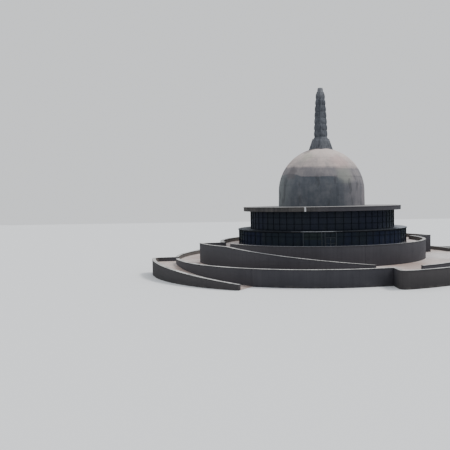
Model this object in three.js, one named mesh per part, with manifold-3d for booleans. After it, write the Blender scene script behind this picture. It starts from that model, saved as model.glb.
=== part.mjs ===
import * as THREE from 'three';
import { mergeVertices } from 'three/addons/utils/BufferGeometryUtils.js';
import Module from 'manifold-3d';

// A round hill-shaped stupa as a 1:10 model. Millimetres, +Z up, the centre of the ground plan
// at the origin. Plan angles are in degrees from the front (-Y), growing towards the right (+X).
const wasm = await Module();
wasm.setup();

// Driving dimensions
const gap = 0.3;
const overlap = 0.1;
const wallThickness = 104;
const terraceRadius = 4967;
const rampRadius = 5712;
const upperRampRadius = 4220;
const upperRadius = 3471;
const terraceFloor = 360;
const terraceParapet = 490;
const upperFloor = 850;
const upperParapet = 981;
const rampToe = 8;
const rampToeParapet = 155;
const cornerSteps = 8;

const hallRadius = 2840;
const hallTop = 1348;
const glassThickness = 28;
const ledgeThickness = 35;
const ledgeOverhang = 26;
const drumRadius = 2444;
const drumTop = 1965;
const slabRadius = 2675;
const slabThickness = 141;
const roundSegments = 90;
const doorHeight = 360;

const domeRadius = 1462;
const domeCentre = 2606;
const domeThickness = 46;
const domeSegments = 64;
const domeSteps = 12;
const domeInnerSteps = 8;
const domeFlare = 10;

const spireFootHalf = 462;
const spireFootLevel = 3878;
const spireBaseHalf = 289;
const spireBaseTop = 4387;
const collarHalf = 246;
const shaftBottom = 4458;
const shaftBottomHalf = 236;
const shaftTop = 5944;
const shaftTopHalf = 152;
const shaftTaper = 1.6;
const tierCount = 7;
const tierNotch = 20;
const tierLip = 0.45;
const tipShoulder = 6003;
const tipShoulderHalf = 102;
const tipTop = 6114;
const tipHalf = 88;

// Plan angles of one half; the other half is the same, turned by half a turn. A ramp's end wall
// stands at high, its floor starts down at landing and its outer wall's top at level.
const endMargin = 0.01;
const upperStepWidth = 1.4;
const leftRamp = { high: -82.5, landing: -78, gate: -76, level: -82.5, low: -26 };
const rightRamp = { high: 18.6, landing: 30, gate: 30, level: 40, low: 75 };
const upperRamp = { high: -73, landing: -57, gate: -60, level: -46.4, low: 17 };
const door = { from: -1.5, to: 4.5, lap: 0.5 };

// A lower ramp's end wall leaves the terrace on a heading and rounds into the outer ring
const leftEnd = { heading: -82.5, corner: 280 };
const rightEnd = { heading: 5, corner: 170 };

const slabTop = drumTop + gap + slabThickness;
const deckRadius = terraceRadius - wallThickness;
const upperDeckRadius = upperRadius - wallThickness;

function planPoint(radius, angle) {
  const a = THREE.MathUtils.degToRad(angle);
  return [radius * Math.sin(a), -radius * Math.cos(a)];
}

const planVector = (radius, angle) => new THREE.Vector2(...planPoint(radius, angle));
const angleOf = (point) => THREE.MathUtils.radToDeg(Math.atan2(point.x, -point.y));

// Where a line from a point along a direction meets the circle of a radius
function onCircle(point, along, radius) {
  const b = point.dot(along);
  return point.clone().addScaledVector(along, Math.sqrt(b * b - point.lengthSq() + radius ** 2) - b);
}

// The corners of an end wall: its two feet on the terrace wall and the middle of its rounding
function endCorners(ramp, end) {
  const along = planVector(1, end.heading);
  const across = planVector(1, end.heading + 90);
  const root = planVector(terraceRadius + gap, ramp.high);
  const face = root.clone().addScaledVector(across, wallThickness);
  const inner = onCircle(face, along, terraceRadius + gap);
  const middle = root.clone().addScaledVector(across, end.corner);
  const centre = onCircle(middle, along, rampRadius - end.corner);
  return { along, across, root, inner, centre, turn: angleOf(centre) };
}

const leftStart = angleOf(endCorners(leftRamp, leftEnd).inner) + endMargin;
const rightStart = angleOf(endCorners(rightRamp, rightEnd).inner) + endMargin;

// Angles where every round piece has a corner, so that neighbours keep their gap
const stationStep = 3;
const plainStations = Array.from({ length: 360 / stationStep }, (_, i) => i * stationStep);
const breaks = [
  ...Object.values(leftRamp), ...Object.values(rightRamp), ...Object.values(upperRamp),
  door.from, door.to,
  leftStart, rightStart, upperRamp.high + upperStepWidth,
];
const stations = [...new Set([...plainStations, ...breaks, ...breaks.map((a) => a + 180)]
  .map((a) => Math.round((((a % 360) + 360) % 360) * 1000) / 1000))].sort((a, b) => a - b);

function between(from, to) {
  const turns = [-360, 0, 360].flatMap((turn) => stations.map((a) => a + turn));
  const inside = turns.filter((a) => a > from + 0.01 && a < to - 0.01);
  return [from, ...inside, to];
}

const asFunction = (value) => (typeof value === 'function' ? value : () => value);

// A box bent round the axis: its underside and top may change with the angle
function bentBlock(inner, outer, from, to, bottom, top) {
  const trim = THREE.MathUtils.radToDeg(gap / 2 / outer);
  const angles = between(from, to);
  angles[0] += trim;
  angles[angles.length - 1] -= trim;
  const steps = angles.length - 1;
  const geometry = new THREE.BoxGeometry(1, 1, 1, steps, 1, 1);
  const p = geometry.attributes.position;
  const low = asFunction(bottom);
  const high = asFunction(top);
  for (let i = 0; i < p.count; i += 1) {
    const angle = angles[Math.round((p.getX(i) + 0.5) * steps)];
    const radius = p.getY(i) > 0 ? inner : outer;
    const z = p.getZ(i) > 0 ? high(angle) : low(angle);
    p.setXYZ(i, ...planPoint(radius, angle), z);
  }
  return geometry;
}

// A solid round mass whose corners stand at the shared angles
function roundMass(radius, bottom, top) {
  const shape = new THREE.Shape(stations.map((a) => new THREE.Vector2(...planPoint(radius, a))));
  const geometry = new THREE.ExtrudeGeometry(shape, { depth: top - bottom, bevelEnabled: false });
  return geometry.translate(0, 0, bottom);
}

// A closed profile of [radius, height] pairs turned round the axis
function turned(profile, segments, startAngle = 0) {
  const points = profile.map(([r, z]) => new THREE.Vector2(r, z));
  const geometry = new THREE.LatheGeometry(points, segments, startAngle);
  return geometry.rotateX(Math.PI / 2);
}

function toSolid(geometry) {
  const bare = geometry.clone();
  bare.deleteAttribute('normal');
  bare.deleteAttribute('uv');
  const merged = mergeVertices(bare, 1e-4);
  const index = merged.index.array;
  const kept = [];
  for (let i = 0; i < index.length; i += 3) {
    const [a, b, c] = [index[i], index[i + 1], index[i + 2]];
    if (a !== b && b !== c && c !== a) kept.push(a, b, c);
  }
  return new wasm.Manifold(new wasm.Mesh({
    numProp: 3,
    vertProperties: new Float32Array(merged.attributes.position.array),
    triVerts: new Uint32Array(kept),
  }));
}

function toGeometry(solid) {
  const mesh = solid.getMesh();
  const geometry = new THREE.BufferGeometry();
  geometry.setAttribute('position', new THREE.BufferAttribute(new Float32Array(mesh.vertProperties), 3));
  geometry.setIndex(new THREE.BufferAttribute(new Uint32Array(mesh.triVerts), 1));
  geometry.computeVertexNormals();
  return geometry;
}

function joined(...geometries) {
  return toGeometry(geometries.map(toSolid).reduce((sum, solid) => sum.add(solid)));
}

function cutBy(geometry, tool) {
  return toGeometry(toSolid(geometry).subtract(toSolid(tool)));
}

function finish(color, roughness, metalness = 0) {
  return new THREE.MeshStandardMaterial({ color, roughness, metalness });
}

const stupa = new THREE.Group();
const halves = [new THREE.Group(), new THREE.Group()];
halves[1].rotation.z = Math.PI;
const sides = ['front', 'back'];
stupa.add(...halves);

function place(name, geometry, material, parent = stupa) {
  const mesh = new THREE.Mesh(geometry, material);
  mesh.name = name;
  parent.add(mesh);
}

const render = finish('#3d3d41', 0.85);
const paving = finish('#b3a89f', 0.8);
const glass = finish('#12161d', 0.12);
const ledgeStone = finish('#9ba3a6', 0.7);
const slabRender = finish('#4a4b4e', 0.8);
const cement = finish('#7c7974', 0.9);
const spireStone = finish('#4b5058', 0.75);

function slope(angle, a, za, b, zb) {
  const t = THREE.MathUtils.clamp((angle - a) / (b - a), 0, 1);
  return za + (zb - za) * t;
}

const rampFloor = (ramp) => (angle) => slope(angle, ramp.landing, terraceFloor, ramp.low, rampToe);

// The outer wall's top swells down from the parapet to its toe
function rampWallTop(ramp) {
  return (angle) => {
    const t = slope(angle, ramp.level, 1, ramp.low, 0);
    return rampToeParapet + (terraceParapet - rampToeParapet) * Math.sin((Math.PI / 2) * t);
  };
}

function rounding(corners, end, radius) {
  return Array.from({ length: cornerSteps + 1 }, (_, i) => {
    const first = end.heading - 90;
    return planVector(radius, first + (corners.turn - first) * (i / cornerSteps)).add(corners.centre);
  });
}

// Ramp mass between the two ring walls, cut back to its end wall, with its sill at the gate
function lowerRampMass(ramp, end, start) {
  const corners = endCorners(ramp, end);
  const { along, across, root } = corners;
  const floor = rampFloor(ramp);
  const bed = bentBlock(terraceRadius + gap, rampRadius - wallThickness - gap, ramp.high - 1, ramp.low,
    0, floor);
  const foot = root.clone().addScaledVector(across, wallThickness + gap).addScaledVector(along, -200);
  const outline = [foot, ...rounding(corners, end, end.corner - wallThickness - gap),
    planVector(rampRadius + 300, corners.turn), planVector(rampRadius + 300, ramp.high - 4),
    planVector(terraceRadius - 200, ramp.high - 4)];
  const waste = new THREE.ExtrudeGeometry(new THREE.Shape(outline),
    { depth: terraceFloor + 20, bevelEnabled: false }).translate(0, 0, -10);
  const sill = bentBlock(deckRadius, terraceRadius + 2 * gap, start, ramp.gate, 0, floor);
  return joined(cutBy(bed, waste), sill);
}

// Outer wall of a lower ramp: its end wall stands on the terrace wall and rounds into the outer ring
function lowerOuterWall(ramp, end) {
  const corners = endCorners(ramp, end);
  const outline = [corners.root, ...rounding(corners, end, end.corner),
    ...rounding(corners, end, end.corner - wallThickness).reverse(), corners.inner];
  const corner = new THREE.ExtrudeGeometry(new THREE.Shape(outline),
    { depth: rampWallTop(ramp)(corners.turn), bevelEnabled: false });
  const ring = bentBlock(rampRadius - wallThickness, rampRadius, corners.turn - overlap, ramp.low, 0,
    rampWallTop(ramp));
  return joined(corner, ring);
}

function terraceWall(from, to) {
  return bentBlock(deckRadius + gap, terraceRadius, from, to, 0, terraceParapet);
}

function buildLowerTerrace() {
  place('lower_terrace_mass', roundMass(deckRadius - gap, 0, terraceFloor), paving);
  halves.forEach((half, i) => {
    const side = sides[i];
    place(`${side}_lower_wall`, terraceWall(leftRamp.low, rightStart), render, half);
    place(`${side}_left_ramp_inner_wall`, terraceWall(leftRamp.gate, leftRamp.low), render, half);
    place(`${side}_left_ramp`, lowerRampMass(leftRamp, leftEnd, leftStart), paving, half);
    place(`${side}_left_ramp_outer_wall`, lowerOuterWall(leftRamp, leftEnd), render, half);
    place(`${side}_right_ramp_inner_wall`, terraceWall(rightRamp.gate, rightRamp.low), render, half);
    place(`${side}_right_ramp`, lowerRampMass(rightRamp, rightEnd, rightStart), paving, half);
    place(`${side}_right_ramp_outer_wall`, lowerOuterWall(rightRamp, rightEnd), render, half);
    place(`${side}_side_wall`, terraceWall(rightRamp.low, leftStart + 180), render, half);
  });
}

const upperRampFloor = (angle) =>
  slope(angle, upperRamp.landing, upperFloor, upperRamp.low, terraceFloor + gap + rampToe);
const upperWallTop = (angle) =>
  slope(angle, upperRamp.level, upperParapet, upperRamp.low, terraceParapet);

function upperRampMass() {
  const base = terraceFloor + gap;
  const start = upperRamp.high + upperStepWidth;
  const bed = bentBlock(upperRadius + gap, upperRampRadius - wallThickness - gap, start,
    upperRamp.low, base, upperRampFloor);
  const sill = bentBlock(upperDeckRadius, upperRadius + 2 * gap, start, upperRamp.gate, base,
    upperRampFloor);
  return joined(bed, sill);
}

function upperOuterWall() {
  const base = terraceFloor + gap;
  const { high, low } = upperRamp;
  const ring = bentBlock(upperRampRadius - wallThickness, upperRampRadius, high, low, base,
    upperWallTop);
  const step = bentBlock(upperRadius + gap, upperRampRadius - wallThickness / 2, high,
    high + upperStepWidth, base, upperParapet);
  return joined(ring, step);
}

function upperWall(from, to) {
  return bentBlock(upperDeckRadius + gap, upperRadius, from, to, terraceFloor + gap, upperParapet);
}

function buildUpperTerrace() {
  place('upper_terrace_mass', roundMass(upperDeckRadius - gap, terraceFloor + gap, upperFloor),
    paving);
  const upperStart = upperRamp.high + upperStepWidth;
  halves.forEach((half, i) => {
    const side = sides[i];
    place(`${side}_upper_ramp`, upperRampMass(), paving, half);
    place(`${side}_upper_ramp_outer_wall`, upperOuterWall(), render, half);
    place(`${side}_upper_wall`, upperWall(upperRamp.gate, upperRamp.low), render, half);
    place(`${side}_upper_side_wall`, upperWall(upperRamp.low, upperStart + 180), render, half);
  });
}

// Glazed hall: a wide lower storey with a doorway on each side, and a drum under the roof slab
function buildHall() {
  const base = upperFloor + gap;
  const ledgeBottom = hallTop + gap;
  const ledgeTop = ledgeBottom + ledgeThickness;
  halves.forEach((half, i) => {
    const side = sides[i];
    const wall = bentBlock(hallRadius - glassThickness, hallRadius, door.to, door.from + 180,
      base, hallTop);
    const head = bentBlock(hallRadius - glassThickness, hallRadius, door.from, door.to + door.lap,
      base + doorHeight, hallTop);
    place(`${side}_hall_glazing`, joined(wall, head), glass, half);
    place(`${side}_drum_glazing`, bentBlock(drumRadius - glassThickness, drumRadius, 0, 180,
      ledgeTop + gap, drumTop), glass, half);
  });
  const ledge = [
    [drumRadius - glassThickness - ledgeOverhang, ledgeBottom],
    [hallRadius + ledgeOverhang, ledgeBottom],
    [hallRadius + ledgeOverhang, ledgeTop],
    [drumRadius - glassThickness - ledgeOverhang, ledgeTop],
    [drumRadius - glassThickness - ledgeOverhang, ledgeBottom],
  ];
  place('hall_roof_ledge', turned(ledge, roundSegments), ledgeStone);
  place('roof_slab', turned([
    [0, drumTop + gap], [slabRadius, drumTop + gap], [slabRadius, slabTop], [0, slabTop],
  ], roundSegments), slabRender);
}

// The dome's curve from its springing up to the axis
function domeArc(radius, steps) {
  const arc = Array.from({ length: steps }, (_, i) => {
    const a = (Math.PI / 2) * (i / steps);
    return [radius * Math.cos(a), domeCentre + radius * Math.sin(a)];
  });
  return [...arc, [0, domeCentre + radius]];
}

function buildDome() {
  const base = slabTop + gap;
  const rim = domeCentre - gap;
  const inner = domeRadius - domeThickness;
  place('dome_drum', turned([
    [inner, base], [domeRadius + domeFlare, base], [domeRadius, rim], [inner, rim], [inner, base],
  ], domeSegments), cement);
  const inside = domeArc(inner, domeInnerSteps).reverse();
  place('dome_shell', turned([...inside, ...domeArc(domeRadius, domeSteps)], domeSegments), cement);
}

// Half of the shaft's diagonal, which shrinks faster towards the top
function shaftHalf(z) {
  const t = THREE.MathUtils.clamp((z - shaftBottom) / (shaftTop - shaftBottom), 0, 1);
  return shaftBottomHalf + (shaftTopHalf - shaftBottomHalf) * t ** shaftTaper;
}

// Square spire set cornerwise: a flared foot on the dome, then stacked tiers with shadow notches
function buildSpire() {
  const corners = 4;
  const foot = turned([
    [0, spireFootLevel], [spireFootHalf, spireFootLevel], [spireBaseHalf, spireBaseTop],
    [0, spireBaseTop],
  ], corners);
  const domeBody = turned([[0, domeCentre], ...domeArc(domeRadius + gap, domeSteps)], domeSegments);
  place('spire_foot', cutBy(foot, domeBody), spireStone);

  const collarBottom = spireBaseTop + gap;
  place('spire_collar', turned([
    [0, collarBottom], [collarHalf, collarBottom], [shaftBottomHalf - tierNotch, shaftBottom],
    [0, shaftBottom],
  ], corners), spireStone);

  const pitch = (shaftTop - shaftBottom) / tierCount;
  for (let i = 0; i < tierCount; i += 1) {
    const bottom = shaftBottom + i * pitch + gap;
    const top = shaftBottom + (i + 1) * pitch;
    const lip = bottom + pitch * tierLip;
    place(`spire_tier_${i + 1}`, turned([
      [0, bottom], [shaftHalf(bottom) - tierNotch, bottom], [shaftHalf(lip), lip],
      [shaftHalf(top) - tierNotch, top], [0, top],
    ], corners), spireStone);
  }
  const tipBottom = shaftTop + gap;
  place('spire_tip', turned([
    [0, tipBottom], [shaftTopHalf - tierNotch, tipBottom], [tipShoulderHalf, tipShoulder],
    [tipHalf, tipTop], [0, tipTop],
  ], corners), spireStone);
}

buildLowerTerrace();
buildUpperTerrace();
buildHall();
buildDome();
buildSpire();

export default stupa;
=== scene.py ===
import math
from functools import partialmethod

import bmesh
import bpy
from mathutils import Matrix, Vector


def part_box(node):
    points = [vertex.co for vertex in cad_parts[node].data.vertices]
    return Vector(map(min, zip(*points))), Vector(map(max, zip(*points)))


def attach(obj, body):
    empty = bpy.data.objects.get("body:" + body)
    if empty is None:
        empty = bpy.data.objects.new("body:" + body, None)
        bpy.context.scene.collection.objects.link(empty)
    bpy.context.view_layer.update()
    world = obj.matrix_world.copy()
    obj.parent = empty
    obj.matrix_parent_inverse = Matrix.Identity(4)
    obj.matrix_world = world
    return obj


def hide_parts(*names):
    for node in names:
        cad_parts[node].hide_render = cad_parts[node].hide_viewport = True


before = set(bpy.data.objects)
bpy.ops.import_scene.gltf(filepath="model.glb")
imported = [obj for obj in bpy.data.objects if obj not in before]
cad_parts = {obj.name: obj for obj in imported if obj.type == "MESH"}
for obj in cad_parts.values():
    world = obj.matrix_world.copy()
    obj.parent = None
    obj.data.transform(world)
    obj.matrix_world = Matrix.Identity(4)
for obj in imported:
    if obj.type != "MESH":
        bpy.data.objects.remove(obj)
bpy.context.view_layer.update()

# Metres and degrees. Plan angles run from the front (-Y) and grow towards the right (+X).
# The plan repeats after half a turn, so every walled piece is made twice.
halves = {"front": 0, "back": 180}
arcStep = 1.0  # from one corner of a curved wall or bar to the next


# Camera and studio

camera = {
    "eye": (-1.327, -20.578, 2.338),
    "pitchDown": 2.417, "rollRight": 0.871,
    "focalLength": 48.0, "filmWidth": 36.0,
    "shiftRight": -0.1293,  # the photograph is a crop, its centre lies left of the stupa
    "farthest": 400.0,
}
studio = {
    "floorSize": 90.0, "floorDrop": 0.0005, "floorColor": (0.8, 0.8, 0.79, 1), "floorRoughness": 0.85,
    "backdropColor": (0.86, 0.88, 0.9), "skyColor": (0.88, 0.92, 0.98),
    "groveColor": (0.1, 0.115, 0.1),  # dark trees round the horizon, seen in reflections only
    "groveTop": (0.096, 0.16),  # the grove fades into the sky between these heights
    "skyStrength": 1.05,
    "sunFrom": (0.95, 0.22, 1.25), "sunStrength": 2.0, "sunSoftness": 14.0,
}


def placed(name, data):  # a new object in the scene
    obj = bpy.data.objects.new(name, data)
    bpy.context.scene.collection.objects.link(obj)
    return obj


def makeCamera():
    data = bpy.data.cameras.new("photoCamera")
    data.lens = camera["focalLength"]
    data.sensor_width = camera["filmWidth"]
    data.shift_x = camera["shiftRight"]
    data.clip_end = camera["farthest"]
    tilt = Matrix.Rotation(math.radians(90 - camera["pitchDown"]), 4, "X")
    roll = Matrix.Rotation(math.radians(-camera["rollRight"]), 4, "Z")
    obj = placed("photoCamera", data)
    obj.matrix_world = Matrix.Translation(camera["eye"]) @ tilt @ roll
    bpy.context.scene.camera = obj


def makeStudio():
    half = studio["floorSize"] / 2
    corners = [(-half, -half, 0), (half, -half, 0), (half, half, 0), (-half, half, 0)]
    floor = meshObject("floor", corners, [(0, 1, 2, 3)])
    paint = Paint("floorPaint", studio)
    paint.color = studio["floorColor"]
    floor.data.materials.append(paint.finish(studio["floorRoughness"]))
    floor.location.z = -studio["floorDrop"]
    floor.visible_glossy = False  # so that the glass mirrors the grove, not the pale floor

    world = bpy.data.worlds.new("studioSky")
    world.use_nodes = True
    sky = Tree(world.node_tree)
    rise = sky.parts(sky.add("ShaderNodeTexCoord")["Generated"])[2]
    color = sky.mix(sky.fade(rise, *studio["groveTop"]), studio["groveColor"], studio["skyColor"])
    direct = sky.add("ShaderNodeLightPath")["Is Camera Ray"]
    color = sky.mix(direct, color, studio["backdropColor"])
    sky.feed(world.node_tree.nodes["Background"], {"Color": color, "Strength": studio["skyStrength"]})
    bpy.context.scene.world = world

    data = bpy.data.lights.new("softSun", "SUN")
    data.energy = studio["sunStrength"]
    data.angle = math.radians(studio["sunSoftness"])
    sun = placed("softSun", data)
    sun.rotation_euler = Vector(studio["sunFrom"]).to_track_quat("Z", "Y").to_euler()


# Node trees: a wire is a socket that can be used in sums

class Wire:
    def __init__(self, tree, socket):
        self.tree, self.socket = tree, socket

    def maths(self, operation, *values):
        return self.tree.maths(operation, self, *values)

    __add__ = __radd__ = partialmethod(maths, "ADD")
    __mul__ = __rmul__ = partialmethod(maths, "MULTIPLY")
    __sub__ = partialmethod(maths, "SUBTRACT")
    __truediv__ = partialmethod(maths, "DIVIDE")
    __lt__ = partialmethod(maths, "LESS_THAN")
    __gt__ = partialmethod(maths, "GREATER_THAN")

    def __rsub__(self, other):
        return self.tree.maths("SUBTRACT", other, self)

    def __rtruediv__(self, other):
        return self.tree.maths("DIVIDE", other, self)


class Made:  # a new node, whose outputs are read by name or number
    def __init__(self, tree, node):
        self.tree, self.node = tree, node

    def __getitem__(self, key):
        return Wire(self.tree, self.node.outputs[key])


class Tree:
    def __init__(self, nodeTree):
        self.nodeTree = nodeTree

    def add(self, kind, values=None, **settings):
        node = self.nodeTree.nodes.new(kind)
        for key, value in settings.items():
            setattr(node, key, value)
        self.feed(node, values or {})
        return Made(self, node)

    def feed(self, node, values):  # links a wire, and sets any other value
        for key, value in values.items():
            if isinstance(value, Wire):
                self.nodeTree.links.new(value.socket, node.inputs[key])
            elif value is not None:
                node.inputs[key].default_value = value

    def maths(self, operation, *values):
        return self.add("ShaderNodeMath", dict(enumerate(values)), operation=operation)[0]

    def vector(self, *values):
        return self.add("ShaderNodeCombineXYZ", dict(enumerate(values)))[0]

    def parts(self, vector):
        split = self.add("ShaderNodeSeparateXYZ", {0: vector})
        return split[0], split[1], split[2]

    def fade(self, value, low, high, atLow=0, atHigh=1):  # smooth step between two values
        return self.add("ShaderNodeMapRange", {0: value, 1: low, 2: high, 3: atLow, 4: atHigh},
                        interpolation_type="SMOOTHSTEP")[0]

    def mix(self, factor, first, second):
        first, second = [(*c, 1) if isinstance(c, tuple) else c for c in (first, second)]
        return self.add("ShaderNodeMix", {0: factor, 6: first, 7: second}, data_type="RGBA")[2]


class Paint(Tree):  # a material, with the colour it has so far
    def __init__(self, name, look):
        self.look, self.color = look, None
        self.material = bpy.data.materials.new(name)
        self.material.use_nodes = True
        super().__init__(self.material.node_tree)
        self.at = self.add("ShaderNodeTexCoord")["Object"]
        self.x, self.y, self.z = self.parts(self.at)
        self.faceX, self.faceY, self.up = self.parts(self.add("ShaderNodeNewGeometry")["Normal"])

    def noise(self, scale, detail, rough, down=1, shift=(0, 0, 0)):  # a low value of down makes runs
        place = self.add("ShaderNodeMapping", {
            "Vector": self.at, "Location": shift, "Scale": (1, 1, down)})[0]
        return self.add("ShaderNodeTexNoise", {
            "Vector": place, "Scale": scale, "Detail": detail, "Roughness": rough})[0]

    def reach(self, x=0, y=0):  # distance in plan from the axis, or from another place
        return ((self.x - x) * (self.x - x) + (self.y - y) * (self.y - y)).maths("SQRT")

    def across(self):  # distance to the right of the middle, seen from before either doorway
        return 0 - self.x * self.y.maths("SIGN")

    def turnShare(self):  # plan angle as a share of a full turn, -0.5 to 0.5, with 0 at the front
        return self.maths("ARCTAN2", self.x, 0 - self.y) / (2 * math.pi)

    def radialJoints(self, count, width, start=0):  # 1 on the joints between panels set round the plan
        place = ((self.turnShare() * count + start).maths("FRACT") - 0.5).maths("ABSOLUTE")
        return place > (0.5 - width * count / (4 * math.pi) / self.reach())

    def cover(self, factor, tint):  # lays one of the look's colours over the colour so far
        self.color = self.mix(factor, self.color, self.look[tint])

    def patch(self, place, ragged, core, share):  # a round patch of colour, full in its core; lays stains and also painted light and shade
        middle, size, tint = place
        away = self.add("ShaderNodeVectorMath", {0: self.at, 1: middle}, operation="DISTANCE")["Value"]
        self.color = self.mix(self.fade(away + ragged, size * core, size, share, 0), self.color, tint)

    def bump(self, height, strength, distance):
        return self.add("ShaderNodeBump", {
            "Height": height, "Strength": strength, "Distance": distance})[0]

    def finish(self, roughness, normal=None, specular=0.5):
        self.feed(self.nodeTree.nodes["Principled BSDF"], {
            "Base Color": self.color, "Roughness": roughness, "Normal": normal,
            "Specular IOR Level": specular})
        return self.material


# Finishes: a pair is where a fade starts and ends, and a noise has a scale, detail and roughness

wallRender = {
    "dark": (0.035, 0.0335, 0.041), "light": (0.05, 0.0475, 0.056),
    "warm": (0.047, 0.0405, 0.039),  # on the lower ramps' outer walls
    "left": (0.07, 0.067, 0.073),  # painted light: lighter where the left side's walls turn from the front
    "inside": (0.105, 0.09, 0.078), "dust": (0.16, 0.145, 0.125), "seam": (0.012, 0.012, 0.014),
    "warmReach": (5.0, 5.5),  # radii past the terrace's wall
    "leftReach": (5.2, 5.5),
    "leftFacing": (-0.85, -0.2), "leftOf": (0, 1),
    "insideFacing": (2.6, 3.2),  # share of a face's turn to the axis, times its radius
    "dustTop": 0.07,
    "panelsRound": 180, "panelStart": 0.25, "panelJoint": 0.0044,
    "courseHeight": 0.165, "courseStart": 0.35, "courseJoint": 0.0022,
}


def paintWallRender(p, look):
    patches = p.noise(0.9, 5, 0.6)
    runs = p.noise(5.5, 5, 0.65, down=0.07)
    grain = p.noise(60, 3, 0.6)
    reach = p.reach()
    p.color = p.mix(p.fade(patches * 0.7 + runs * 0.3, 0.36, 0.66), look["dark"], look["light"])
    p.cover(p.fade(reach + (patches - 0.5) * 0.5, *look["warmReach"]) * 0.7, "warm")
    # painted light on the left side's left-facing faces, weaker on the lower ramps' outer walls
    left = p.fade(p.faceX, *look["leftFacing"], 0.65, 0) * p.fade(0 - p.x, *look["leftOf"])
    p.cover(left * p.fade(reach, *look["leftReach"], 1.0, 0.4), "left")
    inside = p.fade(0 - (p.faceX * p.x + p.faceY * p.y), *look["insideFacing"])
    p.cover(inside * p.fade(patches, 0.3, 0.6, 0.5, 0.95), "inside")
    dust = p.fade(p.z + (patches - 0.5) * 0.12, 0.0, look["dustTop"], 1, 0)
    p.cover(dust * p.fade(runs, 0.4, 0.7) * 0.4, "dust")

    upright = p.radialJoints(look["panelsRound"], look["panelJoint"], look["panelStart"])
    course = (p.z / look["courseHeight"] + look["courseStart"]).maths("FRACT")
    joint = upright.maths("MAXIMUM", course < look["courseJoint"] / look["courseHeight"])
    p.cover(joint * 0.5, "seam")
    height = grain * 0.35 + patches * 0.4 - joint
    return p.finish(0.62 + 0.25 * grain, p.bump(height, 0.35, 0.003))


copingStone = {
    "pale": (0.69, 0.67, 0.635), "worn": (0.38, 0.37, 0.35), "moss": (0.075, 0.075, 0.07),
    "side": (0.042, 0.041, 0.044),
    "shaded": (0.105, 0.107, 0.122),  # the upper terrace's front copings are greyer
    "shadedLevel": (0.6, 0.93), "paleAside": (1.9, 2.9), "topFacing": (0.72, 0.93),
}


def paintCopingStone(p, look):
    blots = p.noise(2.2, 6, 0.65)
    grain = p.noise(48, 4, 0.6)
    p.color = p.mix(p.fade(blots, 0.4, 0.64), look["worn"], look["pale"])
    p.cover(p.fade(p.noise(7, 5, 0.7, shift=(3, 1, 0)), 0.54, 0.72) * 0.5, "moss")
    aside = p.fade(p.x.maths("ABSOLUTE") + (blots - 0.5) * 0.4, *look["paleAside"])
    p.cover(p.fade(p.z, *look["shadedLevel"]) * (1 - aside), "shaded")
    p.cover(1 - p.fade(p.up, *look["topFacing"]), "side")
    return p.finish(0.7 + 0.2 * grain, p.bump(grain, 0.3, 0.002))


paving = {
    "slab": 0.12, "joint": 0.0035,
    "seam": (0.13, 0.12, 0.11), "pale": (0.66, 0.565, 0.515), "pink": (0.4, 0.292, 0.245),
    "grey": (0.29, 0.26, 0.245),
    # painted shadow at the foot of the upper terrace's wall, and a painted pool of sunlight on the terrace to
    # the right
    "damp": ((2.35, -3.05, 0.36), 1.2, (0.4, 0.285, 0.235)),
    "clean": ((4.1, -0.3, 0.36), 1.9, (0.8, 0.735, 0.71)),
}


def paintPaving(p, look):
    bricks = p.add("ShaderNodeTexBrick", {
        "Vector": p.at, "Scale": 1.0, "Mortar Size": look["joint"], "Mortar Smooth": 0.1,
        "Brick Width": look["slab"] * 2, "Row Height": look["slab"], "Bias": 0.0,
        "Color1": (0, 0, 0, 1), "Color2": (1, 1, 1, 1), "Mortar": (0.5, 0.5, 0.5, 1)},
        offset=0.5, squash=1)
    single = p.add("ShaderNodeSeparateColor", {0: bricks["Color"]})[0]
    joint = bricks["Fac"]
    wet = p.noise(0.75, 6, 0.62)
    grain = p.noise(42, 4, 0.65)
    p.color = p.mix(p.fade(wet, 0.38, 0.62), look["pink"], look["pale"])
    # the painted pool of light, then the painted shadow, laid as round patches
    for place in (look["clean"], look["damp"]):
        p.patch(place, (wet - 0.5) * place[1], 0.3, 0.85)
    p.cover(single * 0.35, "grey")
    p.cover(p.fade(p.noise(2.6, 6, 0.7, shift=(5, 2, 0)), 0.55, 0.74) * 0.55, "grey")
    p.cover(joint * 0.65, "seam")
    return p.finish(0.55 + 0.35 * grain, p.bump(grain * 0.3 - joint, 0.35, 0.003))


darkGlass = {
    "blue": (0.0165, 0.0205, 0.04), "green": (0.0185, 0.0245, 0.03),
    "haze": (0.037, 0.04, 0.051),  # also over all of the upper storey
    "entryHigh": (0.0235, 0.031, 0.033),  # lighter panes round each doorway
    "entryLow": (0.02, 0.0275, 0.038),
    "entryFrom": -0.74, "entryTo": 0.25, "entrySill": 1.13, "entryHead": 1.345,
    "panesRound": 146, "paneHeight": 1 / 1.9,
}


def paintDarkGlass(p, look):
    pane = (p.turnShare() * look["panesRound"]).maths("FLOOR")
    row = (p.z / look["paneHeight"]).maths("FLOOR")
    chance = p.add("ShaderNodeTexWhiteNoise", {"Vector": p.vector(pane, row)}, noise_dimensions="3D")[0]
    film = p.noise(3.0, 5, 0.6, down=0.4)
    drift = p.noise(1.1, 3, 0.5, down=0.3, shift=(2, 0, 0))
    p.color = p.mix(chance * 0.35 + p.fade(drift, 0.42, 0.6) * 0.65, look["blue"], look["green"])
    p.cover(p.fade(film, 0.52, 0.72) * 0.55, "haze")
    p.cover((p.z > look["entryHead"]) * 0.4, "haze")
    across = p.across()
    entry = (across > look["entryFrom"]) * (across < look["entryTo"]) * (p.z < look["entryHead"])
    entryColor = p.mix(p.z > look["entrySill"], look["entryLow"], look["entryHigh"])
    p.color = p.mix(entry * p.fade(film, 0.3, 0.6, 0.5, 1), p.color, entryColor)
    return p.finish(0.08 + 0.14 * film, p.bump(p.noise(1.6, 2, 0.4), 0.04, 0.01), 0.07)


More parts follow.
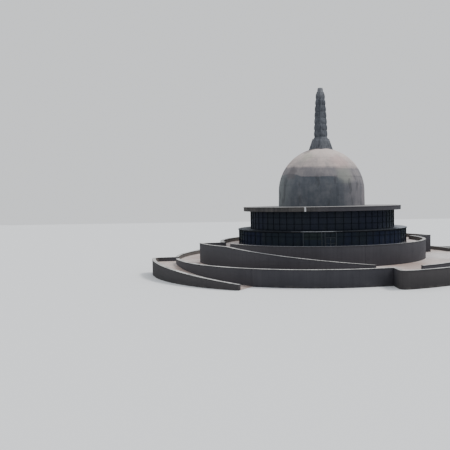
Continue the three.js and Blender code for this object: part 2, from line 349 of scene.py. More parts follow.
darkMetal = {
    "dark": (0.005, 0.0065, 0.01), "light": (0.012, 0.0145, 0.02),
    "scuffs": 26, "roughness": 0.6, "specular": 0.03,
}
doorMetal = {
    "dark": (0.014, 0.02, 0.028), "light": (0.034, 0.045, 0.058),
    "scuffs": 34, "roughness": 0.45, "specular": 0.5,
}


def paintMetal(p, look):
    scuff = p.noise(look["scuffs"], 4, 0.6, down=0.3)
    p.color = p.mix(scuff, look["dark"], look["light"])
    return p.finish(look["roughness"] + 0.2 * scuff, p.bump(scuff, 0.1, 0.001), look["specular"])


paleTrim = {
    "worn": (0.3, 0.315, 0.34), "pale": (0.44, 0.455, 0.48),
    "dull": (0.075, 0.08, 0.09),  # towards its two ends
    "leftEnd": (-0.85, -0.7), "rightEnd": (0.1, 0.3),
}


def paintTrim(p, look):
    wear = p.noise(9, 4, 0.6)
    p.color = p.mix(wear, look["worn"], look["pale"])
    across = p.across()
    dull = p.fade(across, *look["leftEnd"], 1, 0).maths("MAXIMUM", p.fade(across, *look["rightEnd"]))
    p.cover(dull, "dull")
    return p.finish(0.5 + 0.2 * wear, p.bump(wear, 0.1, 0.001))


ledgeStone = {
    "left": (0.082, 0.088, 0.096), "right": (0.26, 0.275, 0.3), "stain": (0.05, 0.053, 0.06),
    "shaded": (0.016, 0.019, 0.025),  # painted shade under the roof's edge
    "side": (0.012, 0.014, 0.018),
    "leftToRight": (-1.5, 1.5), "paleAside": (2.15, 2.5), "topFacing": (0.6, 0.9),
}


def paintLedge(p, look):
    blots = p.noise(1.8, 6, 0.6)
    runs = p.noise(9, 4, 0.6, down=0.1)
    grain = p.noise(55, 3, 0.6)
    p.color = p.mix(p.fade(p.x + (blots - 0.5) * 2, *look["leftToRight"]), look["left"], look["right"])
    p.cover(p.fade(runs, 0.5, 0.75) * 0.5, "stain")
    aside = p.fade(p.x.maths("ABSOLUTE") + (blots - 0.5) * 0.3, *look["paleAside"])
    # painted shade over the ledge's middle under the roof, its two ends left pale
    p.cover(1 - aside, "shaded")
    p.cover(1 - p.fade(p.up, *look["topFacing"]), "side")
    return p.finish(0.5 + 0.2 * blots, p.bump(grain, 0.1, 0.001), 0.12)


roofEdge = {
    "pale": (0.078, 0.071, 0.068), "dark": (0.034, 0.032, 0.032),
    "purple": (0.044, 0.042, 0.054), "purpleRight": (-0.9, 0.4),
    "top": (0.3, 0.29, 0.28), "topStain": (0.15, 0.145, 0.14), "topFacing": (0.5, 0.9),
    "seam": (0.06, 0.058, 0.056),
    "topPanels": 36,  # round the deck
    "topRings": 0.205,  # from one ring joint to the next
    "topJoint": 0.003,
    "lime": (0.62, 0.63, 0.64),  # one white lime run on the front edge
    "limeAngle": -14.3, "limeRadius": 2.675, "limeWidth": (0.018, 0.0324),
}


def paintRoofEdge(p, look):
    blots = p.noise(1.3, 5, 0.6)
    runs = p.noise(7.5, 5, 0.65, down=0.08, shift=(4, 0, 0))
    grain = p.noise(50, 3, 0.6)
    p.color = p.mix(p.fade(blots * 0.5 + runs * 0.5, 0.36, 0.62), look["dark"], look["pale"])
    p.cover(p.fade(p.x + (blots - 0.5), *look["purpleRight"]) * 0.8, "purple")

    pools = p.noise(2.1, 6, 0.66, shift=(2, 5, 0))
    deck = p.mix(p.fade(pools, 0.5, 0.66) * 0.7, look["top"], look["topStain"])
    spoke = p.radialJoints(look["topPanels"], look["topJoint"])
    ring = ((p.reach() - dome["radius"]) / look["topRings"]).maths("FRACT")
    ring = ring < look["topJoint"] / look["topRings"]
    seam = spoke.maths("MAXIMUM", ring) * (p.up > look["topFacing"][1])
    deck = p.mix(seam * 0.6, deck, look["seam"])
    p.color = p.mix(p.fade(p.up, *look["topFacing"]), p.color, deck)

    away = p.reach(*polar(look["limeRadius"], look["limeAngle"]))
    ragged = (p.noise(30, 4, 0.55) - 0.5) * 0.012
    p.cover(p.fade(away + ragged, *look["limeWidth"], 1, 0) * 0.85, "lime")
    return p.finish(0.6 + 0.25 * grain, p.bump(grain + blots - seam, 0.25, 0.003))


domeCement = {
    "top": (0.62, 0.525, 0.475), "cap": (0.51, 0.425, 0.39), "capShade": (0.37, 0.325, 0.305),
    "band": (0.17, 0.16, 0.168), "slate": (0.068, 0.076, 0.091), "slatePale": (0.114, 0.118, 0.13),
    # painted light: paler towards the dome's left edge, and paler on its sunlit right side
    "leftSide": (0.158, 0.17, 0.17), "rightSide": (0.19, 0.172, 0.182),
    "leftFrom": (0.85, 1.5), "rightFrom": (0.35, 1.5),
    "topFrom": (3.55, 3.85), "capFrom": (3.338, 3.438), "bandFrom": 3.063,
    "bandBlur": (0.012, 0.08),  # at the left and at the right
    "blurFrom": (0.3, 0.8),
    "sink": 0.15,  # how much lower the band reaches on the right
    "sinkFrom": (0.3, 0.95),
    "rise": 0.11,  # and how much less low on the left
    "riseFrom": (0.68, 0.98),
    "patches": (
        ((0.55, -0.98, 3.6), 0.45, (0.52, 0.375, 0.345)),  # pink
        ((0.7, -1.14, 3.12), 0.42, (0.24, 0.248, 0.212)),  # green
        ((-0.48, -0.72, 3.738), 0.34, (0.4, 0.395, 0.32)),  # mossy
        ((-0.98, -0.84, 3.16), 0.34, (0.12, 0.105, 0.108)),  # brown
        ((-0.42, -0.27, 3.96), 0.33, (0.022, 0.025, 0.03)),  # painted shadow of the spire's foot, at its left corner
    ),
    "pourHeight": 0.2375,  # from one pour line to the next
    "pourStart": 0.104, "pourJoint": 0.03, "seam": (0.05, 0.052, 0.056),
    "soot": (0.035, 0.036, 0.041), "sootLevel": (3.0, 3.2), "drip": (0.05, 0.053, 0.06),
}


def paintDomeCement(p, look):
    broad = p.noise(1.05, 5, 0.6)
    blots = p.noise(3.4, 6, 0.62)
    runs = p.noise(6.5, 6, 0.68, down=0.09)
    grain = p.noise(42, 4, 0.65)
    mottle = runs * 0.4 + blots * 0.6
    slate = p.mix(p.fade(mottle, 0.4, 0.66), look["slate"], look["slatePale"])
    # painted light towards the left edge and on the right side
    left = p.fade(0 - p.x + (broad - 0.5) * 0.5, *look["leftFrom"])
    slate = p.mix(left * 0.8, slate, look["leftSide"])
    right = p.fade(p.x + (broad - 0.5) * 0.5, *look["rightFrom"])
    slate = p.mix(right * p.fade(mottle, 0.36, 0.56, 0.55, 1), slate, look["rightSide"])
    cap = p.mix(p.fade(mottle, 0.38, 0.6), look["capShade"], look["cap"])
    cap = p.mix(p.fade(p.z + (blots - 0.5) * 0.2, *look["topFrom"]), cap, look["top"])
    band = p.mix(p.fade(mottle, 0.4, 0.66) * 0.35, look["band"], look["capShade"])

    level = p.z + (broad - 0.5) * 0.14 + (blots - 0.5) * 0.07
    sink = p.fade(p.x, *look["sinkFrom"]) * look["sink"]
    shift = sink - p.fade(0 - p.x, *look["riseFrom"]) * look["rise"]
    blur = p.fade(p.x, *look["blurFrom"], *look["bandBlur"])
    p.color = p.mix(p.fade(level + shift, look["bandFrom"] - blur, look["bandFrom"] + blur), slate, band)
    p.color = p.mix(p.fade(level + shift * 0.25, *look["capFrom"]), p.color, cap)
    # stains, and one painted shadow beside the spire's foot
    for place in look["patches"]:
        p.patch(place, (blots - 0.5) * 0.5, 0.35, 0.6)

    pour = (p.z / look["pourHeight"] + look["pourStart"]).maths("FRACT") < look["pourJoint"]
    p.cover(pour * 0.2, "seam")
    soot = p.fade(p.noise(4.2, 5, 0.6, down=0.4, shift=(0, 3, 1)), 0.52, 0.66)
    p.cover(soot * p.fade(p.z, *look["sootLevel"], 0.5, 0.1), "soot")
    p.cover(p.fade(p.noise(15, 4, 0.7, down=0.05, shift=(1, 7, 0)), 0.56, 0.7) * 0.25, "drip")
    height = grain * 0.5 + blots - pour * 0.6
    return p.finish(0.7 + 0.25 * grain, p.bump(height, 0.35, 0.006))


spireStone = {
    "dark": (0.037, 0.042, 0.053), "light": (0.11, 0.118, 0.136),
    "bleached": (0.26, 0.26, 0.27), "footLevel": (4.39, 4.46), "topLevel": (5.57, 6.17),
}


def paintSpireStone(p, look):
    runs = p.noise(19, 5, 0.65, down=0.09)
    blots = p.noise(5, 6, 0.65)
    grain = p.noise(70, 4, 0.6)
    p.color = p.mix(p.fade(runs * 0.65 + blots * 0.35, 0.38, 0.62), look["dark"], look["light"])
    p.cover(p.fade(p.z, *look["footLevel"], 0.12, 0), "bleached")
    p.cover(p.fade(p.z + (blots - 0.5) * 0.4, *look["topLevel"]) * 0.45, "bleached")
    return p.finish(0.65 + 0.25 * grain, p.bump(grain + blots, 0.35, 0.003))


# Shapes

def polar(radius, angle):
    a = math.radians(angle)
    return radius * math.sin(a), -radius * math.cos(a)


def angleOf(point):
    return math.degrees(math.atan2(point[0], -point[1]))


def spread(start, end, count):
    return [start + (end - start) * i / count for i in range(count + 1)]


def ramped(value, low, atLow, high, atHigh):  # straight between two values, level outside them
    return atLow + (atHigh - atLow) * min(1, max(0, (value - low) / (high - low)))


def dress(obj, finish, replaced=None, sharp=35):  # finishes a piece and fixes it to the stupa
    material, slot = finishes[finish]
    obj.data.materials.append(material)
    obj.data.shade_smooth()
    obj.data.set_sharp_from_angle(angle=math.radians(sharp))
    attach(obj, "root")
    if replaced:
        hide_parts(replaced)


def meshObject(name, points, faces, turn=0):  # a closed shape, with its faces turned outwards
    mesh = bpy.data.meshes.new(name)
    mesh.from_pydata([tuple(point) for point in points], [], faces)
    mesh.transform(Matrix.Rotation(math.radians(turn), 4, "Z"))
    shape = bmesh.new()
    shape.from_mesh(mesh)
    bmesh.ops.recalc_face_normals(shape, faces=shape.faces)
    shape.to_mesh(mesh)
    shape.free()
    return placed(name, mesh)


def evaluatedMesh(obj):
    graph = bpy.context.evaluated_depsgraph_get()
    return bpy.data.meshes.new_from_object(obj.evaluated_get(graph))


def softened(obj, width, segments=2, angle=30):  # edges rounded by a bevel that becomes its mesh
    bevel = obj.modifiers.new("edges", "BEVEL")
    bevel.width = width
    bevel.segments = segments
    bevel.limit_method = "ANGLE"
    bevel.angle_limit = math.radians(angle)
    sharp, obj.data = obj.data, evaluatedMesh(obj)
    obj.modifiers.clear()
    bpy.data.meshes.remove(sharp)
    return obj


def sectionLoft(name, sections, turn=0):  # closed tube with flat ends through rings of points
    size = len(sections[0])
    points = [point for ring in sections for point in ring]
    faces = []
    for i in range(len(sections) - 1):
        for j in range(size):
            a, b = i * size + j, i * size + (j + 1) % size
            faces.append((a, a + size, b + size, b))
    faces.append(tuple(range(size)))
    faces.append(tuple(reversed(range(len(points) - size, len(points)))))
    return meshObject(name, points, faces, turn)


def lathe(name, profile, segments, closed=False):  # profile of (radius, height)
    points, rings, faces = [], [], []
    for radius, height in profile:
        if radius == 0:
            rings.append([len(points)] * segments)
            points.append((0, 0, height))
        else:
            rings.append(list(range(len(points), len(points) + segments)))
            points += [(*polar(radius, 360 * i / segments), height) for i in range(segments)]
    pairs = list(zip(rings, rings[1:]))
    if closed:
        pairs.append((rings[-1], rings[0]))
    for low, high in pairs:
        for i in range(segments):
            j = (i + 1) % segments
            corners = list(dict.fromkeys([low[i], low[j], high[j], high[i]]))
            if len(corners) > 2:
                faces.append(corners)
    return meshObject(name, points, faces)


def arc(radius, start, end):
    count = max(1, round(abs(end - start) / arcStep))
    return [polar(radius, angle) for angle in spread(start, end, count)]


def barSection(outside, inside, bottom, top):
    return [(*outside, bottom), (*outside, top), (*inside, top), (*inside, bottom)]


def ringBar(name, inner, outer, start, end, bottom, top, turn=0):
    pairs = zip(arc(outer, start, end), arc(inner, start, end))
    return sectionLoft(name, [barSection(*pair, bottom, top) for pair in pairs], turn)


def boxBetween(name, low, high, turn=0):
    (x0, y0, z0), (x1, y1, z1) = low, high
    ring = [(x0, y0), (x1, y0), (x1, y1), (x0, y1)]
    return sectionLoft(name, [[(*corner, z) for corner in ring] for z in (z0, z1)], turn)


def inset(path, distance, most=1 / 0.3):  # the same line, moved to its left; most limits sharp corners
    points = [Vector(point) for point in path]
    steps = [(b - a).normalized() for a, b in zip(points, points[1:])]
    moved = []
    for here, first, second in zip(points, steps[:1] + steps, steps + steps[-1:]):
        middle = (first + second).normalized()
        side = Vector((-middle.y, middle.x))
        stretch = min(most, 1 / side.dot(Vector((-first.y, first.x))))
        moved.append(tuple(here + side * distance * stretch))
    return moved


def stepped(start, towards, distance):
    start = Vector(start)
    return tuple(start + (Vector(towards) - start).normalized() * distance)


def joinAll(name, parts):  # several shapes of one material become one mesh
    shape = bmesh.new()
    for part in parts:
        shape.from_mesh(part.data)
    for face in shape.faces:
        face.material_index = 0
    mesh = bpy.data.meshes.new(name)
    shape.to_mesh(mesh)
    shape.free()
    for part in parts:
        bpy.data.objects.remove(part)
    return placed(name, mesh)


# Geometry Nodes: blocks laid end to end along a line, or posts stood along it

def blockTree(name, endToEnd):
    group = bpy.data.node_groups.new(name, "GeometryNodeTree")
    face = group.interface
    for label in ("Geometry", "Spacing", "Joint", "Length", "Width", "Height", "Chamfer", "Material"):
        kind = label if label in ("Geometry", "Material") else "Float"
        face.new_socket(label, in_out="INPUT", socket_type="NodeSocket" + kind)
    face.new_socket("Geometry", in_out="OUTPUT", socket_type="NodeSocketGeometry")
    t = Tree(group)
    given = t.add("NodeGroupInput")
    line = given["Geometry"]
    length = t.add("GeometryNodeCurveLength", {0: line})[0]
    count = (length / given["Spacing"]).maths("ROUND").maths("MAXIMUM", 1)
    pitch = length / count
    if endToEnd:  # a trim's inputs 4 and 5 are its start and end as lengths
        ends = {"Curve": line, 4: pitch * 0.5, 5: length - pitch * 0.5}
        line = t.add("GeometryNodeTrimCurve", ends, mode="LENGTH")[0]
        long = pitch - given["Joint"]
    else:
        count = count + 1
        long = given["Length"]
    spots = t.add("GeometryNodeCurveToPoints", {"Curve": line, "Count": count}, mode="COUNT")
    aim = t.add("FunctionNodeAlignRotationToVector", {"Vector": spots["Tangent"]}, axis="X")[0]
    aim = t.add("FunctionNodeAlignRotationToVector", {"Rotation": aim, "Vector": (0, 0, 1)},
                axis="Z", pivot_axis="X")[0]
    body = given["Height"] - given["Chamfer"]
    size = t.vector(long, given["Width"], body)
    block = t.add("GeometryNodeMeshCube", {"Size": size})[0]
    lift = t.vector(0, 0, body * 0.5)
    block = t.add("GeometryNodeTransform", {"Geometry": block, "Translation": lift})[0]
    normal = t.parts(t.add("GeometryNodeInputNormal")[0])[2]
    grown = t.add("GeometryNodeExtrudeMesh", {
        "Mesh": block, "Selection": normal > 0.5, "Offset Scale": given["Chamfer"]}, mode="FACES")
    cut = given["Chamfer"] * 2
    shrink = t.vector(1 - cut / long, 1 - cut / given["Width"], 1)
    place = t.add("ShaderNodeVectorMath", {0: t.add("GeometryNodeInputPosition")[0], 1: shrink},
                  operation="MULTIPLY")[0]
    block = t.add("GeometryNodeSetPosition", {
        "Geometry": grown["Mesh"], "Selection": grown["Top"], "Position": place})[0]
    laid = t.add("GeometryNodeInstanceOnPoints", {
        "Points": spots["Points"], "Instance": block, "Rotation": aim})[0]
    solid = t.add("GeometryNodeRealizeInstances", {0: laid})[0]
    painted = t.add("GeometryNodeSetMaterial", {"Geometry": solid, "Material": given["Material"]})[0]
    t.add("NodeGroupOutput", {0: painted})
    return group


def blocksAlong(name, tree, line, settings, turn=0):
    curve = bpy.data.curves.new(name, "CURVE")
    curve.dimensions = "3D"
    spline = curve.splines.new("POLY")
    spline.points.add(len(line) - 1)
    for point, place in zip(spline.points, line):
        point.co = (*place, 1)
    curve.transform(Matrix.Rotation(math.radians(turn), 4, "Z"))
    source = placed(name + "Line", curve)
    modifier = source.modifiers.new("blocks", "NODES")
    modifier.node_group = tree
    sockets = {item.name: item.identifier for item in tree.interface.items_tree if item.in_out == "INPUT"}
    for key, value in settings.items():
        modifier[sockets[key]] = value
    mesh = evaluatedMesh(source)
    bpy.data.objects.remove(source)
    return placed(name, mesh)


# Ring walls, whose sizes repeat the frame's

walls = {
    "thickness": 0.104, "edge": 0.004, "gap": 0.0003,
    "terraceRadius": 4.967, "rampRadius": 5.712, "upperRadius": 3.471, "upperRampRadius": 4.22,
    "terraceFloor": 0.36, "terraceTop": 0.49, "upperTop": 0.981, "toeTop": 0.155,
    "bendSteps": 12,
    "bendStone": 0.08,  # length of a coping stone round a corner
    "bendStoneSteps": 5,
    "endMargin": 0.01, "upperStepWidth": 1.4,
    "leftRamp": {"high": -82.5, "gate": -76, "level": -82.5, "low": -26, "heading": -82.5, "corner": 0.28},
    "rightRamp": {"high": 18.6, "gate": 30, "level": 40, "low": 75, "heading": 5, "corner": 0.17},
    "upperRamp": {"high": -73, "gate": -60, "level": -46.4, "low": 17},
}
coping = {"Spacing": 0.105, "Joint": 0.0016, "Width": 0.112, "Height": 0.017, "Chamfer": 0.003}


def onCircle(point, along, radius):  # where a line from a point along a direction meets a circle
    b = point.dot(along)
    return point + along * (math.sqrt(b * b - point.length_squared + radius * radius) - b)


def endCorners(ramp):  # an end wall's two feet on the terrace wall and the middle of its rounding
    w = walls
    along, across = Vector(polar(1, ramp["heading"])), Vector(polar(1, ramp["heading"] + 90))
    root = Vector(polar(w["terraceRadius"] + w["gap"], ramp["high"]))
    inner = onCircle(root + across * w["thickness"], along, w["terraceRadius"] + w["gap"])
    centre = onCircle(root + across * ramp["corner"], along, w["rampRadius"] - ramp["corner"])
    return root, inner, centre


def startOf(ramp):  # plan angle where a ramp's floor starts
    return angleOf(endCorners(ramp)[1]) + walls["endMargin"]


def roundedRing(ramp):  # a lower ramp's outer wall stands on the terrace wall and rounds into its ring
    w = walls
    root, _, centre = endCorners(ramp)
    first, last = ramp["heading"] - 90, angleOf(centre)
    bend = [tuple(centre + Vector(polar(ramp["corner"], heading)))
            for heading in spread(first, last, w["bendSteps"])]
    return [tuple(root)] + bend + arc(w["rampRadius"], last, ramp["low"])[1:]


def bendStones(ramp, top, turn):  # curved coping stones round the corner
    c = coping
    centre = endCorners(ramp)[2]
    first, last = ramp["heading"] - 90, angleOf(centre)
    middle = ramp["corner"] - walls["thickness"] / 2
    near, far, height, chamfer = middle - c["Width"] / 2, middle + c["Width"] / 2, c["Height"], c["Chamfer"]
    profile = [(near, 0), (near, height - chamfer), (near + chamfer, height), (far - chamfer, height),
               (far, height - chamfer), (far, 0)]
    joint = math.degrees((c["Joint"] + chamfer) / middle) / 2
    count = round(math.radians(last - first) * middle / walls["bendStone"])
    share = (last - first) / count
    stones = []
    for i in range(count):
        start, end = first + share * i + joint, first + share * (i + 1) - joint
        sections = []
        for heading in spread(start, end, walls["bendStoneSteps"]):
            base = top(angleOf(centre + Vector(polar(middle, heading)))) - height
            sections.append([(*(centre + Vector(polar(r, heading))), base + z) for r, z in profile])
        stones.append(sectionLoft("stone", sections, turn))
    return stones


def buildWall(node, turn, path, top, bottom=0, ramp=None):  # a ramp's end wall starts its ring's path
    rounded = ramp and "corner" in ramp
    thickness, cap = walls["thickness"], coping["Height"]
    inner = inset(path, thickness)
    if rounded:
        inner[0] = tuple(endCorners(ramp)[1])
    sections = [barSection(outside, inside, bottom, top(angleOf(outside)) - cap)
                for outside, inside in zip(path, inner)]
    wall = sectionLoft(node + "_rendered", sections, turn)
    dress(softened(wall, walls["edge"]), "wallRender", node)

    middle = inset(path, thickness / 2)
    laid = bendStones(ramp, top, turn) if rounded else []
    runs = [(0, len(path) - 1)]
    if ramp:
        runs = [(0, 1), (walls["bendSteps"] + 1 if rounded else 1, len(path) - 1)]
    for first, last in runs:
        line = [(*p, top(angleOf(p)) - cap) for p in middle[first:last + 1]]
        if last == 1:  # an end wall's stones start clear of the stones on the wall it stands on
            line[0] = stepped(line[0], line[1], (coping["Width"] - thickness) / 2 + coping["Joint"])
        if last == 1 and not rounded:  # at a square corner the ring's stones go past this row
            line[1] = stepped(line[1], line[0], coping["Width"] / 2 + coping["Joint"])
        if first == 1:
            line[0] = stepped(line[0], line[1], -coping["Width"] / 2)
        stone = {"Material": finishes["copingStone"][0]}
        laid.append(blocksAlong("stones", layBlocks, line, coping | stone, turn))
    dress(joinAll(node + "_rendered_coping", laid), "copingStone")


def levelTop(height):
    return lambda angle: height


def slopeTop(ramp):
    return lambda angle: ramped(angle, ramp["level"], walls["upperTop"], ramp["low"], walls["terraceTop"])


def swellTop(ramp):
    low, rise = walls["toeTop"], walls["terraceTop"] - walls["toeTop"]
    return lambda angle: low + rise * math.sin(ramped(angle, ramp["level"], math.pi / 2, ramp["low"], 0))


def buildWalls():
    w = walls
    left, right, upper = w["leftRamp"], w["rightRamp"], w["upperRamp"]
    level, high = levelTop(w["terraceTop"]), levelTop(w["upperTop"])
    base = w["terraceFloor"] + w["gap"]
    ring, upperRing = w["terraceRadius"], w["upperRadius"]
    upperStart = upper["high"] + w["upperStepWidth"]
    slopeRing = [polar(upperRing + w["gap"], upper["high"])]
    slopeRing += arc(w["upperRampRadius"], upper["high"], upper["low"])
    plan = {
        "lower_wall": (arc(ring, left["low"], startOf(right)), level),
        "left_ramp_inner_wall": (arc(ring, left["gate"], left["low"]), level),
        "right_ramp_inner_wall": (arc(ring, right["gate"], right["low"]), level),
        "side_wall": (arc(ring, right["low"], startOf(left) + 180), level),
        "left_ramp_outer_wall": (roundedRing(left), swellTop(left), 0, left),
        "right_ramp_outer_wall": (roundedRing(right), swellTop(right), 0, right),
        "upper_wall": (arc(upperRing, upper["gate"], upper["low"]), high, base),
        "upper_side_wall": (arc(upperRing, upper["low"], upperStart + 180), high, base),
        "upper_ramp_outer_wall": (slopeRing, slopeTop(upper), base, upper),
    }
    for side, turn in halves.items():
        for label, row in plan.items():
            buildWall(f"{side}_{label}", turn, *row)
    print("walls built")


# Glazed hall, its ledge and the roof

hall = {
    "radius": 2.84, "drumRadius": 2.444, "glass": 0.028,
    "paneFront": 0.01,  # a pane stands this far behind the faces of its posts
    "paneBack": 0.006,
    "paneMargin": 0.1,  # degrees that it ends before a doorway's edge
    "doorFrom": -1.5, "doorTo": 4.5, "doorHeight": 0.36,
    "kerb": 0.022, "rail": 0.014, "drumRails": (0.33, 0.66),
    "post": {"Width": 0.034, "Chamfer": 0.002},
    "lowerPosts": {"Spacing": 0.2446, "Length": 0.011},
    "doorPosts": {"Spacing": 0.1487, "Length": 0.011},
    "drumPosts": {"Spacing": 0.2527, "Length": 0.013},
}
entrance = {
    "posts": (-15.0, -3.75, -1.85, 4.85),  # plan angles of its upright posts
    "postWidth": 0.024, "postFaces": (2.812, 2.853), "postEdge": 0.003,
    "trimEnds": (-22.5, 8.5),
    "trim": (0.019, 0.032, 0.0075),  # the ledge's light edge over it: from, to and reach
    "trimSeat": 0.001, "trimEdge": 0.002,
    "leafRadius": 2.824, "leafDepth": 0.012, "leafGlass": 0.004, "leafEdge": 0.001,
    "clearance": 0.002, "stile": 0.012,
    "rails": ((0.004, 0.026), (0.16, 0.172), (0.342, 0.358)),  # heights above the floor
    "handle": (0.005, 0.012, 0.08),  # width, reach and height
}


def buildEntrance(side, turn, floor, head):  # posts beside the doorway and a light edge over it
    e = entrance
    near, far = e["postFaces"]
    reach = e["postWidth"] / 2
    posts = [boxBetween("post", (-reach, -far, floor), (reach, -near, head), turn + angle)
             for angle in e["posts"]]
    portal = joinAll(f"{side}_entrance_posts", posts)
    dress(softened(portal, e["postEdge"]), "doorAluminium")

    low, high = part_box("hall_roof_ledge")
    under, over, out = e["trim"]
    trim = ringBar(f"{side}_entrance_trim", high.x - e["trimSeat"], high.x + out, *e["trimEnds"],
                   low.z + under, low.z + over, turn)
    dress(softened(trim, e["trimEdge"], segments=1), "paleTrim")


def buildLeaves(side, turn, floor):  # two closed glass leaves in the doorway
    e = entrance
    middle = (hall["doorFrom"] + hall["doorTo"]) / 2
    wide = e["leafRadius"] * math.sin(math.radians(hall["doorTo"] - middle)) - e["clearance"]
    front, back = -e["leafRadius"] - e["leafDepth"] / 2, -e["leafRadius"] + e["leafDepth"] / 2
    bottom, top = floor + e["rails"][0][0], floor + e["rails"][-1][1]
    glass = e["leafGlass"] / 2
    bars, panes = [], []

    def bar(x0, x1, z0, z1, y0=front, y1=back):
        bars.append(boxBetween("bar", (x0, y0, z0), (x1, y1, z1), turn + middle))

    for a, b in ((-wide, -e["clearance"] / 2), (e["clearance"] / 2, wide)):
        left, right = a + e["stile"], b - e["stile"]
        bar(a, left, bottom, top)
        bar(right, b, bottom, top)
        for low, high in e["rails"]:
            bar(left, right, floor + low, floor + high)
        panes.append(boxBetween("pane", (left, -e["leafRadius"] - glass, bottom),
                                (right, -e["leafRadius"] + glass, top), turn + middle))
        x = b - e["stile"] / 2 if b < 0 else a + e["stile"] / 2
        width, depth, height = e["handle"]
        level = floor + e["rails"][1][1]
        bar(x - width / 2, x + width / 2, level, level + height, front - depth, front)
    frames = joinAll(f"{side}_door_frames", bars)
    dress(softened(frames, e["leafEdge"], segments=1), "doorAluminium")
    dress(joinAll(f"{side}_door_panes", panes), "darkGlass")


def paneFaces(radius):
    return radius - hall["glass"] + hall["paneBack"], radius - hall["paneFront"]


def postsAlong(kind, radius, start, end, bottom, top, turn):
    line = [(*p, bottom) for p in arc(radius - hall["glass"] / 2, start, end)]
    sizes = hall["post"] | hall[kind] | {"Height": top - bottom, "Material": finishes["darkAluminium"][0]}
    return blocksAlong(kind, standBlocks, line, sizes, turn)


def buildLowerStorey(side, turn):
    h = hall
    low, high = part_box(f"{side}_hall_glazing")
    bottom, head, top = low.z, low.z + h["doorHeight"], high.z
    start, end, margin = h["doorFrom"], h["doorTo"], h["paneMargin"]
    faces = paneFaces(h["radius"])
    panes = [
        ringBar("pane", *faces, end + margin, start - margin + 180, bottom, top, turn),
        ringBar("overDoor", *faces, start + margin, end - margin, head, top, turn),
    ]
    dress(joinAll(f"{side}_hall_panes", panes), "darkGlass", f"{side}_hall_glazing")
    faces = h["radius"] - h["glass"], h["radius"]
    bars = [
        ringBar("kerb", *faces, end, start + 180, bottom, bottom + h["kerb"], turn),
        ringBar("headRail", *faces, start, start + 180, head, head + h["rail"], turn),
        ringBar("topRail", *faces, start, start + 180, top - h["rail"], top, turn),
        postsAlong("lowerPosts", h["radius"], end, start + 180, bottom, top, turn),
        postsAlong("doorPosts", h["radius"], start, end, head, top, turn),
    ]
    dress(joinAll(f"{side}_hall_frame", bars), "darkAluminium")
    buildEntrance(side, turn, bottom, top)
    buildLeaves(side, turn, bottom)


def buildUpperStorey(side, turn):
    h = hall
    low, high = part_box(f"{side}_drum_glazing")
    bottom, top = low.z, high.z
    pane = ringBar(f"{side}_drum_panes", *paneFaces(h["drumRadius"]), 0, 180, bottom, top, turn)
    dress(pane, "darkGlass", f"{side}_drum_glazing")
    faces = h["drumRadius"] - h["glass"], h["drumRadius"]
    levels = [bottom] + [bottom + (top - bottom) * share for share in h["drumRails"]] + [top - h["rail"]]
    bars = [ringBar("rail", *faces, 0, 180, z, z + h["rail"], turn) for z in levels]
    bars.append(postsAlong("drumPosts", h["drumRadius"], 0, 180, bottom, top, turn))
    dress(joinAll(f"{side}_drum_frame", bars), "darkAluminium")


def buildHall():
    for side, turn in halves.items():
        buildLowerStorey(side, turn)
        buildUpperStorey(side, turn)
    print("hall glazed")


# Steps of a profile go inward and upward, "under" from its lower edge and "over" from its upper one
ledgeShape = {
    "inside": 0.054,  # how far it reaches in from the upper storey's face
    "under": ((0.016, 0), (0.013, 0.006), (0.009, 0), (0.002, 0), (0, 0.003)),
    "over": ((0, -0.01), (0.005, -0.004)),
}
roofShape = {
    "under": ((0.075, 0), (0.07, 0.01), (0.058, 0.01), (0.053, 0), (0.01, 0), (0.007, 0.003)),
    "over": ((0.007, -0.026), (0, -0.024), (0, -0.004), (0.004, 0), (0.11, 0), (0.12, -0.008),
             (0.45, -0.01), (0.55, 0)),
}
roundSegments, roundSharp = 240, 28


def stepsFrom(x, z, steps):
    return [(x - inward, z + rise) for inward, rise in steps]


def edgeProfile(shape, low, high, inner):
    under, over = stepsFrom(high.x, low.z, shape["under"]), stepsFrom(high.x, high.z, shape["over"])
    return [(inner, low.z), *under, *over, (inner, high.z)]


def buildLedgeAndRoof():
    profile = edgeProfile(ledgeShape, *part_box("hall_roof_ledge"), hall["drumRadius"] - ledgeShape["inside"])
    ledge = lathe("hall_ledge_stone", profile, roundSegments, closed=True)
    dress(ledge, "ledgeStone", "hall_roof_ledge", roundSharp)
    roof = lathe("roof_deck", edgeProfile(roofShape, *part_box("roof_slab"), 0), roundSegments)
    dress(roof, "roofRender", "roof_slab", roundSharp)
    print("ledge and roof built")


# Dome and spire

dome = {
    "radius": 1.462, "centre": 2.606, "thickness": 0.046, "segments": 192,
    "flare": 0.01,  # at the drum's foot
    "flareCurve": 1.6, "footRows": 8, "outerRows": 44, "innerRows": 20,
    "grooves": (2.8, 3.063, 3.388, 3.7),  # heights of the pour lines
    "grooveDepth": 0.005, "grooveHalf": 0.006, "sharp": 40,
}


def domePoint(radius, angle):
    return radius * math.cos(angle), dome["centre"] + radius * math.sin(angle)


